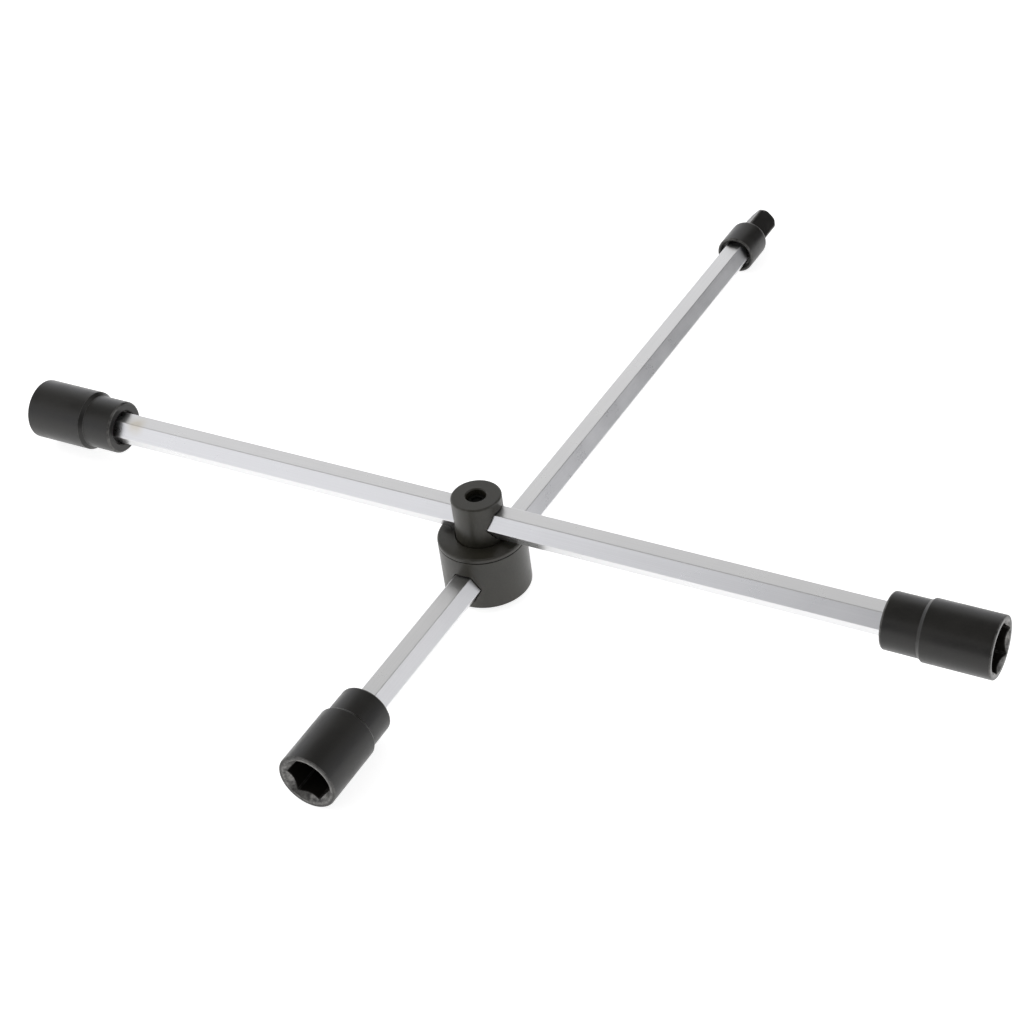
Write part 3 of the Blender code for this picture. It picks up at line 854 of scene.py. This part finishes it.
def new_finish(name):
    """A material with its node tree, its shader and the position in object coordinates."""
    made = bpy.data.materials.new(name)
    made.use_nodes = True
    tree = made.node_tree
    place = add(tree, "ShaderNodeTexCoord").outputs["Object"]
    return made, tree, tree.nodes["Principled BSDF"], place


def emboss(tree, shader, strength, distance, height):
    """Wires a bump of the height to the shader."""
    bump = add(tree, "ShaderNodeBump",
               {"Strength": strength, "Distance": distance, "Height": height})
    tree.links.new(bump.outputs["Normal"], shader.inputs["Normal"])


FLOAT, VECTOR = "NodeSocketFloat", "NodeSocketVector"
WHITE = (1, 1, 1, 1)

# %% [markdown]
# ## Effects that several finishes share
#
# Four effects make up every finish here. **Lines** are noise squeezed along one direction: the
# drawing lines along a bar, or the turning lines around a socket. **Grain** is the fine crystal
# skin of phosphated or blasted steel. **Film** is oil and handling, in soft patches a
# centimetre or two wide. **Wear** breaks up the light line where an edge has been rubbed.

# %% Effect groups
def lines_group():
    """Noise of the position times a stretch vector, spread to the range 0 to 1."""
    made, enter, leave = group("lines", [("Vector", VECTOR, None), ("Stretch", VECTOR, None)])
    squeezed = add(made, "ShaderNodeVectorMath", {0: enter.outputs[0], 1: enter.outputs[1]},
                   operation="MULTIPLY").outputs[0]
    value = remap(made, noise(made, squeezed, 1.0, 4.0, 0.6), 0.3, 0.7)
    made.links.new(value, leave.inputs["Mask"])
    return made


def grain_group():
    """Two noises of crystal size, multiplied, so that the skin has pits and not waves."""
    made, enter, leave = group("grain", [("Vector", VECTOR, None), ("Scale", FLOAT, 2500.0)])
    fine = noise(made, enter.outputs["Vector"], enter.outputs["Scale"], 2.0)
    coarse_scale = calculate(made, "MULTIPLY", enter.outputs["Scale"], 0.37)
    coarse = noise(made, enter.outputs["Vector"], coarse_scale, 2.0)
    made.links.new(remap(made, calculate(made, "MULTIPLY", fine, coarse), 0.12, 0.42),
                   leave.inputs["Mask"])
    return made


def film_group():
    """Soft patches: a low noise, its edges broken by a finer one."""
    made, enter, leave = group("film", [("Vector", VECTOR, None), ("Scale", FLOAT, 60.0)])
    broad = noise(made, enter.outputs["Vector"], enter.outputs["Scale"], 4.0, 0.6)
    made.links.new(remap(made, broad, 0.35, 0.68), leave.inputs["Mask"])
    return made


def wear_group():
    """The edge mask times a broken noise: rubbed in places, whole in others."""
    made, enter, leave = group("wear", [("Vector", VECTOR, None), ("Edge", FLOAT, 0.0),
                                        ("Amount", FLOAT, 1.0)])
    broken = remap(made, noise(made, enter.outputs["Vector"], 420.0, 5.0, 0.65), 0.25, 0.7)
    rubbed = calculate(made, "MULTIPLY", enter.outputs["Edge"], broken)
    made.links.new(calculate(made, "MULTIPLY", rubbed, enter.outputs["Amount"]),
                   leave.inputs["Mask"])
    return made


LINES, GRAIN, FILM, WEAR = lines_group(), grain_group(), film_group(), wear_group()
print("effects:", [made.name for made in (LINES, GRAIN, FILM, WEAR)])

# %% [markdown]
# The wear needs to know where the edges are. Each vertex gets an `edge` value from 0 to 1, high
# on a small fillet and zero on flats, on wide rounds and on the sharp lips of a bore. It is the
# bend between the faces that meet at the vertex, because a small fillet bends a lot in one step.
# The lead-in cones of the sockets and the round at their mouths are rubbed by every nut, so they
# get the full value.

# %% Edge attribute
FILLET_BEND = np.radians([8.0, 13.0, 26.0])  # none below the first, most from the second to the last
FILLET_RUB = 0.52
CONE_TOLERANCE, LEAST_DEPTH = 0.05 * MM, 0.02 * MM  # for telling which vertices lie on a cone


def bends(mesh):
    """The largest bend at each vertex: the angle between the two faces of each of its edges."""
    normals = np.array([face.normal for face in mesh.polygons])
    sides = {}
    for face in mesh.polygons:
        for key in face.edge_keys:
            sides.setdefault(key, []).append(face.index)
    pairs = np.array([(*key, *faces) for key, faces in sides.items() if len(faces) == 2])
    bend = np.arccos(np.clip((normals[pairs[:, 2]] * normals[pairs[:, 3]]).sum(1), -1, 1))
    largest = np.zeros(len(mesh.vertices))
    np.maximum.at(largest, pairs[:, 0], bend)
    np.maximum.at(largest, pairs[:, 1], bend)
    return largest


def coordinates(mesh):
    """Vertex coordinates as an array of shape (count, 3)."""
    flat = np.empty(len(mesh.vertices) * 3)
    mesh.vertices.foreach_get("co", flat)
    return flat.reshape(-1, 3)


def mark_edges(piece, cone=None):
    """Writes the edge attribute. A cone is a socket's frame, front distance and mouth radius, and
    the vertices on the cone and on the round beside it are rubbed all over."""
    mesh = piece.data
    bend = bends(mesh)
    low, full, high = FILLET_BEND
    share = np.where(bend > high, 0.0, FILLET_RUB * np.clip((bend - low) / (full - low), 0, 1))
    if cone is not None:
        (axes, origin), front, mouth = cone
        local = (coordinates(mesh) - origin) @ axes
        radius = np.hypot(local[:, 0], local[:, 1])
        depth = front - local[:, 2]
        on_cone = (np.abs(radius + depth - mouth) < CONE_TOLERANCE) & (depth > LEAST_DEPTH)
        on_round = (np.abs(radius - mouth) < MOUTH_ROUND / 2) & (np.abs(depth) < MOUTH_ROUND / 3)
        share = np.where(on_cone | on_round, 1.0, share)
    mesh.attributes.new("edge", "FLOAT", "POINT").data.foreach_set("value", share.astype(np.float32))
    print(piece.name, "edge share", round(float(share.mean()), 3))


for piece in (upper_bar, lower_bar, drive_end, hub_base, hub_cover, pivot_head, brake_screw):
    mark_edges(piece)
for side, piece in sockets.items():
    place = SOCKETS[side][0]
    front = span_out(f"{side}_socket", place)[1]
    mark_edges(piece, (place, front, body_radius(f"{side}_socket") - MOUTH_EDGE - MOUTH_RIM))

# %% [markdown]
# ## Black phosphated steel
#
# The hub and the sockets are machined, then phosphated and oiled. That leaves a thin, nearly
# black crystal skin: dark and slightly warm, satin where the oil has filled it, drier and a
# shade greyer elsewhere, with the turning lines still faintly there, and bare grey steel where
# edges have rubbed. The skin isn't metal, so the shader's Metallic stays low except on the wear.
# The screw deep in the post's hole is black oxide, and its skin is made the darkest and dullest as
# painted shade for the deep hole.

# %% Black finish
AROUND = 30.0  # lines per metre around a turned piece, where a line hardly changes
ALONG = 5200.0  # lines per metre along its axis
CRYSTALS = 2600.0  # per metre
OIL_PATCHES = 70.0  # per metre
BLACK_BUMP = (0.22, 0.03 * MM)  # strength and depth
PALER = 1.5  # a crystal that the oil hasn't filled, over the skin's lighter colour
RUBBED_STEEL = (0.24, 0.235, 0.225, 1)


def black_finish(name, axis, dark, light, roughness, rubbing, specular):
    """Phosphated steel turned about an axis, 0 for X, 1 for Y and 2 for Z."""
    made, tree, shader, place = new_finish(name)
    shader.inputs["Specular IOR Level"].default_value = specular
    stretch = [AROUND] * 3
    stretch[axis] = ALONG
    lines = use(tree, LINES, place, Stretch=stretch)
    grain = use(tree, GRAIN, place, Scale=CRYSTALS)
    film = use(tree, FILM, place, Scale=OIL_PATCHES)
    edge = add(tree, "ShaderNodeAttribute", attribute_name="edge").outputs["Fac"]
    wear = use(tree, WEAR, place, Edge=edge, Amount=rubbing)
    skin = blend_colours(tree, film, (*dark, 1), (*light, 1))
    pale = tuple(channel * PALER for channel in light)
    skin = blend_colours(tree, calculate(tree, "MULTIPLY", grain, 0.3), skin, (*pale, 1))
    skin = blend_colours(tree, wear, skin, RUBBED_STEEL)
    tree.links.new(skin, shader.inputs["Base Color"])
    tree.links.new(calculate(tree, "MULTIPLY", wear, 0.8), shader.inputs["Metallic"])
    uneven = weighed(tree, film, 0.10, lines, 0.05)
    tree.links.new(calculate(tree, "ADD", uneven, roughness), shader.inputs["Roughness"])
    emboss(tree, shader, *BLACK_BUMP, weighed(tree, grain, 0.6, lines, 0.4))
    return made


BLACKS = {
    # name: axis, dark and light skin, roughness, rubbing of the edges, specular
    "hub": (2, (0.0165, 0.0155, 0.0105), (0.0250, 0.0228, 0.0160), 0.30, 0.2, 0.55),
    # The screw's black oxide skin, made darker and duller as painted shade for the deep hole.
    "well": (2, (0.003, 0.003, 0.003), (0.006, 0.006, 0.005), 0.50, 0.0, 0.10),
    "upper_socket": (0, (0.0066, 0.0060, 0.0048), (0.0116, 0.0106, 0.0087), 0.28, 1.0, 0.45),
    "lower_socket": (1, (0.0066, 0.0060, 0.0048), (0.0116, 0.0106, 0.0087), 0.28, 1.0, 0.45),
}
hub_black, hole_shade_black, upper_black, lower_black = [black_finish(f"{name}_black", *values)
                                                   for name, values in BLACKS.items()]
finishes = {hub_base: hub_black, hub_cover: hub_black, pivot_head: hub_black,
            brake_screw: hole_shade_black, sockets["right"]: upper_black, sockets["left"]: upper_black,
            sockets["front"]: lower_black, drive_end: lower_black}

# %% [markdown]
# ## Satin steel
#
# The bars are drawn and satin plated: almost white metal with fine lines along their length,
# and a thin film of oil and fingerprints that changes the gloss more than the colour. The small
# hardware is the same metal with a plainer, rounder grain.

# %% Steel finishes
SATIN_GRAIN = 1800.0  # per metre
FINGERPRINTS = 45.0  # per metre
SATIN_BUMP = (0.05, 0.01 * MM)
BRIGHT_EDGE = (0.82, 0.82, 0.82, 1)
# The brownish colour of the painted shade on the upper bar beside the left socket's collar.
PAINTED_SHADE_BROWN = (0.64, 0.61, 0.55, 1)


def steel_finish(name, stretch, dark, light, roughness, shade_spot=None):
    """Bright metal with lines, film, and rubbed edges. A shade spot is a place and a radius, around
    which a brownish patch of painted shade darkens the metal.
    """
    made, tree, shader, place = new_finish(name)
    shader.inputs["Metallic"].default_value = 1.0
    lines = use(tree, LINES, place, Stretch=stretch)
    grain = use(tree, GRAIN, place, Scale=SATIN_GRAIN)
    film = use(tree, FILM, place, Scale=FINGERPRINTS)
    edge = add(tree, "ShaderNodeAttribute", attribute_name="edge").outputs["Fac"]
    wear = use(tree, WEAR, place, Edge=edge, Amount=0.4)
    tone = weighed(tree, lines, 0.7, film, 0.3)
    metal = blend_colours(tree, tone, (*dark, 1), (*light, 1))
    # Painted shade: near the spot the metal turns brownish, broken up by the film.
    if shade_spot is not None:
        away = add(tree, "ShaderNodeVectorMath", {0: place, 1: shade_spot[0]}, operation="DISTANCE")
        near = remap(tree, away.outputs["Value"], shade_spot[1], 0.0)
        shade_share = calculate(tree, "MULTIPLY", near, calculate(tree, "ADD", film, 0.45))
        metal = blend_colours(tree, shade_share, metal, PAINTED_SHADE_BROWN)
    tree.links.new(blend_colours(tree, wear, metal, BRIGHT_EDGE), shader.inputs["Base Color"])
    uneven = weighed(tree, film, 0.04, grain, 0.03)
    tree.links.new(calculate(tree, "ADD", uneven, roughness), shader.inputs["Roughness"])
    emboss(tree, shader, *SATIN_BUMP, weighed(tree, lines, 0.7, grain, 0.3))
    return made


LENGTHWISE, CROSSWISE = 6.0, 2600.0
BAR_DARK, BAR_LIGHT = (0.70, 0.70, 0.705), (0.745, 0.745, 0.75)
BAR_ROUGHNESS = 0.27
COLLAR_SHADE_SPOT = ((-0.200, -0.0030, 0.0461), 8 * MM)  # painted shade on the bar's top beside the left socket's collar: its place and its radius
finishes[upper_bar] = steel_finish("upper_bar_satin", (LENGTHWISE, CROSSWISE, CROSSWISE),
                                   BAR_DARK, BAR_LIGHT, BAR_ROUGHNESS, COLLAR_SHADE_SPOT)
finishes[lower_bar] = steel_finish("lower_bar_satin", (CROSSWISE, LENGTHWISE, CROSSWISE),
                                   BAR_DARK, BAR_LIGHT, BAR_ROUGHNESS)
HARDWARE_DARK, HARDWARE_LIGHT = (0.50, 0.50, 0.51), (0.68, 0.68, 0.69)
HARDWARE_STRETCH = (900.0, 900.0, 900.0)
HARDWARE_ROUGHNESS = 0.30
hardware = steel_finish("hardware_satin", HARDWARE_STRETCH, HARDWARE_DARK, HARDWARE_LIGHT,
                        HARDWARE_ROUGHNESS)
finishes[drive_ball] = hardware

# %% [markdown]
# The pad under the screw is white nylon: milky, slightly translucent plastic with a faint
# moulded grain.

# %% Nylon
NYLON_WHITE, NYLON_AGED = (0.70, 0.68, 0.60, 1), (0.62, 0.58, 0.47, 1)
NYLON_BUMP = (0.1, 0.02 * MM)
NYLON_GLOW = 0.15  # share of the light that passes through its skin


def nylon_finish():
    """Moulded nylon, off white, with a faint grain and yellowing film."""
    made, tree, shader, place = new_finish("pad_nylon")
    shader.inputs["Subsurface Weight"].default_value = NYLON_GLOW
    shader.inputs["Subsurface Scale"].default_value = MM
    grain = use(tree, GRAIN, place, Scale=1500.0)
    film = use(tree, FILM, place, Scale=300.0)
    colour = blend_colours(tree, film, NYLON_WHITE, NYLON_AGED)
    tree.links.new(colour, shader.inputs["Base Color"])
    tree.links.new(remap(tree, grain, 0.0, 1.0, 0.42, 0.56), shader.inputs["Roughness"])
    emboss(tree, shader, *NYLON_BUMP, grain)
    return made


def set_finish(piece, finish):
    """The piece's only material."""
    piece.data.materials.clear()
    piece.data.materials.append(finish)


for piece, finish in finishes.items():
    set_finish(piece, finish)
PACKED_HARDWARE = ("thrust_washer", "index_ball", "index_spring", "lower_friction_ball",
                   "lower_friction_spring", "drive_spring", "right_pin", "left_pin", "front_pin",
                   "drive_pin")
for node in PACKED_HARDWARE:
    set_finish(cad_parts[node], hardware)
set_finish(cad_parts["brake_pad"], nylon_finish())
print("finishes:", sorted({finish.name for finish in finishes.values()}))

# %% [markdown]
# ## Floor and light
#
# The wrench can't lie level: it rests on its front socket, its drive end and the rim of its base,
# and leans a few degrees towards its left socket. The part keeps its own level frame, so here
# the floor leans instead. A plane z = c + a x + b y touches a level round end of radius r at
# height h and distance y where c + b y = h - r sqrt(1 + a^2), and it touches the base's rim of
# radius R where c + R sqrt(a^2 + b^2) = 0. Three such touches fix a, b and c, and a few repeated
# substitutions solve them.

# %% Floor
FLOOR_HALF = 4.0
FLOOR_GLOW = 0.80  # the table is lit a little from below, so that shadows stay faint
FLOOR_PAINT = (0.75, 0.75, 0.75, 1)
FLOOR_ROUGHNESS = 0.8
REST_GAP = 0.05 * MM
SOLVING_STEPS = 20


def resting_plane():
    """a, b and c of the plane under the front socket, the drive end and the base's left rim."""
    front_low, front_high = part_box("front_socket")
    drive_low, drive_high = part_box("drive_end")
    front_y, front_r = front_low.y + SOCKET_EDGE, (front_high.z - front_low.z) / 2
    drive_y, drive_r = drive_low.y + DRIVE_COLLAR_EDGE, (drive_high.z - drive_low.z) / 2
    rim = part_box("hub_base")[1].x - BASE_EDGE
    a = b = c = 0.0
    for _ in range(SOLVING_STEPS):
        lean = math.sqrt(1 + a * a)
        b = (front_r - drive_r) * lean / (drive_y - front_y)
        c = LOWER_AXIS - front_r * lean - b * front_y
        a = -math.sqrt(max((c / rim) ** 2 - b * b, 0.0))
    return a, b, c - REST_GAP


def make_floor():
    """A pale square, far larger than the wrench, on the resting plane."""
    a, b, c = resting_plane()
    corners = np.array([(-1, -1), (1, -1), (1, 1), (-1, 1)]) * FLOOR_HALF
    heights = c + corners @ np.array([a, b])
    mesh = bpy.data.meshes.new("floor")
    mesh.from_pydata(np.column_stack([corners, heights]).tolist(), [], [(0, 1, 2, 3)])
    floor = add_object("floor", mesh)
    paint, _, shader, _ = new_finish("floor_paint")
    shader.inputs["Base Color"].default_value = FLOOR_PAINT
    shader.inputs["Roughness"].default_value = FLOOR_ROUGHNESS
    shader.inputs["Emission Color"].default_value = WHITE
    shader.inputs["Emission Strength"].default_value = FLOOR_GLOW
    set_finish(floor, paint)
    print("floor leans", round(math.degrees(math.atan(math.hypot(a, b))), 2), "degrees")


make_floor()

# %% [markdown]
# The light is a white studio. Satin metal is a picture of its surround, so the surround does the
# shading: brightest low down, where the sweep behind the table starts, falling to a dim ceiling,
# with soft dark lobes where a person and a lens stand. It is a touch cool low down and a touch
# warm above. The dim ceiling is what draws the thin dark line along the ridge of a bar, and what
# keeps the top of a black cylinder black. Each lobe is a smooth step of the angle between a
# direction and the lobe's own. One large soft light above the left lights the table, and is left
# out of reflections.

# %% Surround
KEY_PLACE, KEY_SIZE, KEY_POWER = (-1.3, -0.4, 1.9), 1.8, 14.0
HORIZON = 1.13  # brightness at the horizon
FALLS = [
    # from this height of the direction's Z, to this one, down to this share
    (0.0, 0.60, 0.87),
    (0.58, 0.80, 0.32),
]
COOL_TO_WARM = (0.35, 0.60)
COOL, WARM = (0.985, 0.99, 1.03, 1), (1.005, 1.0, 0.99, 1)
LOBES = [
    # direction, half angle in degrees, width of its soft edge, share of the light that stays
    ((0.10, -0.96, 0.27), 18.0, 10.0, 0.12),
    ((0.39, 0.89, 0.23), 22.0, 10.0, 0.10),
    ((0.50, -0.79, 0.35), 24.0, 28.0, 0.30),
    ((0.95, -0.22, 0.20), 6.0, 16.0, 0.60),
]


def make_surround():
    """The world: bright at the horizon, times its falls and lobes, and plain to the camera."""
    world = bpy.data.worlds.new("studio")
    bpy.context.scene.world = world
    world.use_nodes = True
    tree = world.node_tree
    direction = add(tree, "ShaderNodeTexCoord").outputs["Generated"]
    height = add(tree, "ShaderNodeSeparateXYZ", {0: direction}).outputs["Z"]
    light = HORIZON
    for low, high, share in FALLS:
        light = calculate(tree, "MULTIPLY", remap(tree, height, low, high, 1.0, share), light)
    for aim, half, soft, share in LOBES:
        unit = np.array(aim) / np.linalg.norm(aim)
        facing = add(tree, "ShaderNodeVectorMath", {0: direction, 1: unit.tolist()},
                     operation="DOT_PRODUCT").outputs["Value"]
        rim, core = math.cos(math.radians(half + soft)), math.cos(math.radians(half))
        light = calculate(tree, "MULTIPLY", remap(tree, facing, rim, core, 1.0, share), light)
    seen = add(tree, "ShaderNodeLightPath").outputs["Is Camera Ray"]
    mixed = add(tree, "ShaderNodeMix", {0: seen, 2: light, 3: HORIZON}, data_type="FLOAT")
    background = tree.nodes["Background"]
    tint = blend_colours(tree, remap(tree, height, *COOL_TO_WARM), COOL, WARM)
    tree.links.new(blend_colours(tree, seen, tint, WHITE), background.inputs["Color"])
    tree.links.new(mixed.outputs[0], background.inputs["Strength"])


def soft_light(name, place, size, power):
    """A square area light aimed at the hub, which lights surfaces but isn't mirrored in them."""
    data = bpy.data.lights.new(name, "AREA")
    data.size = size
    data.energy = power
    lamp = add_object(name, data)
    away = np.array(place, float)
    away /= np.linalg.norm(away)
    side = np.cross([0, 0, 1], away)
    side /= np.linalg.norm(side)
    stand(lamp, (side, np.cross(away, side), away), place)
    lamp.visible_glossy = False


make_surround()
soft_light("soft_key", KEY_PLACE, KEY_SIZE, KEY_POWER)
bpy.context.scene.view_settings.view_transform = "Standard"
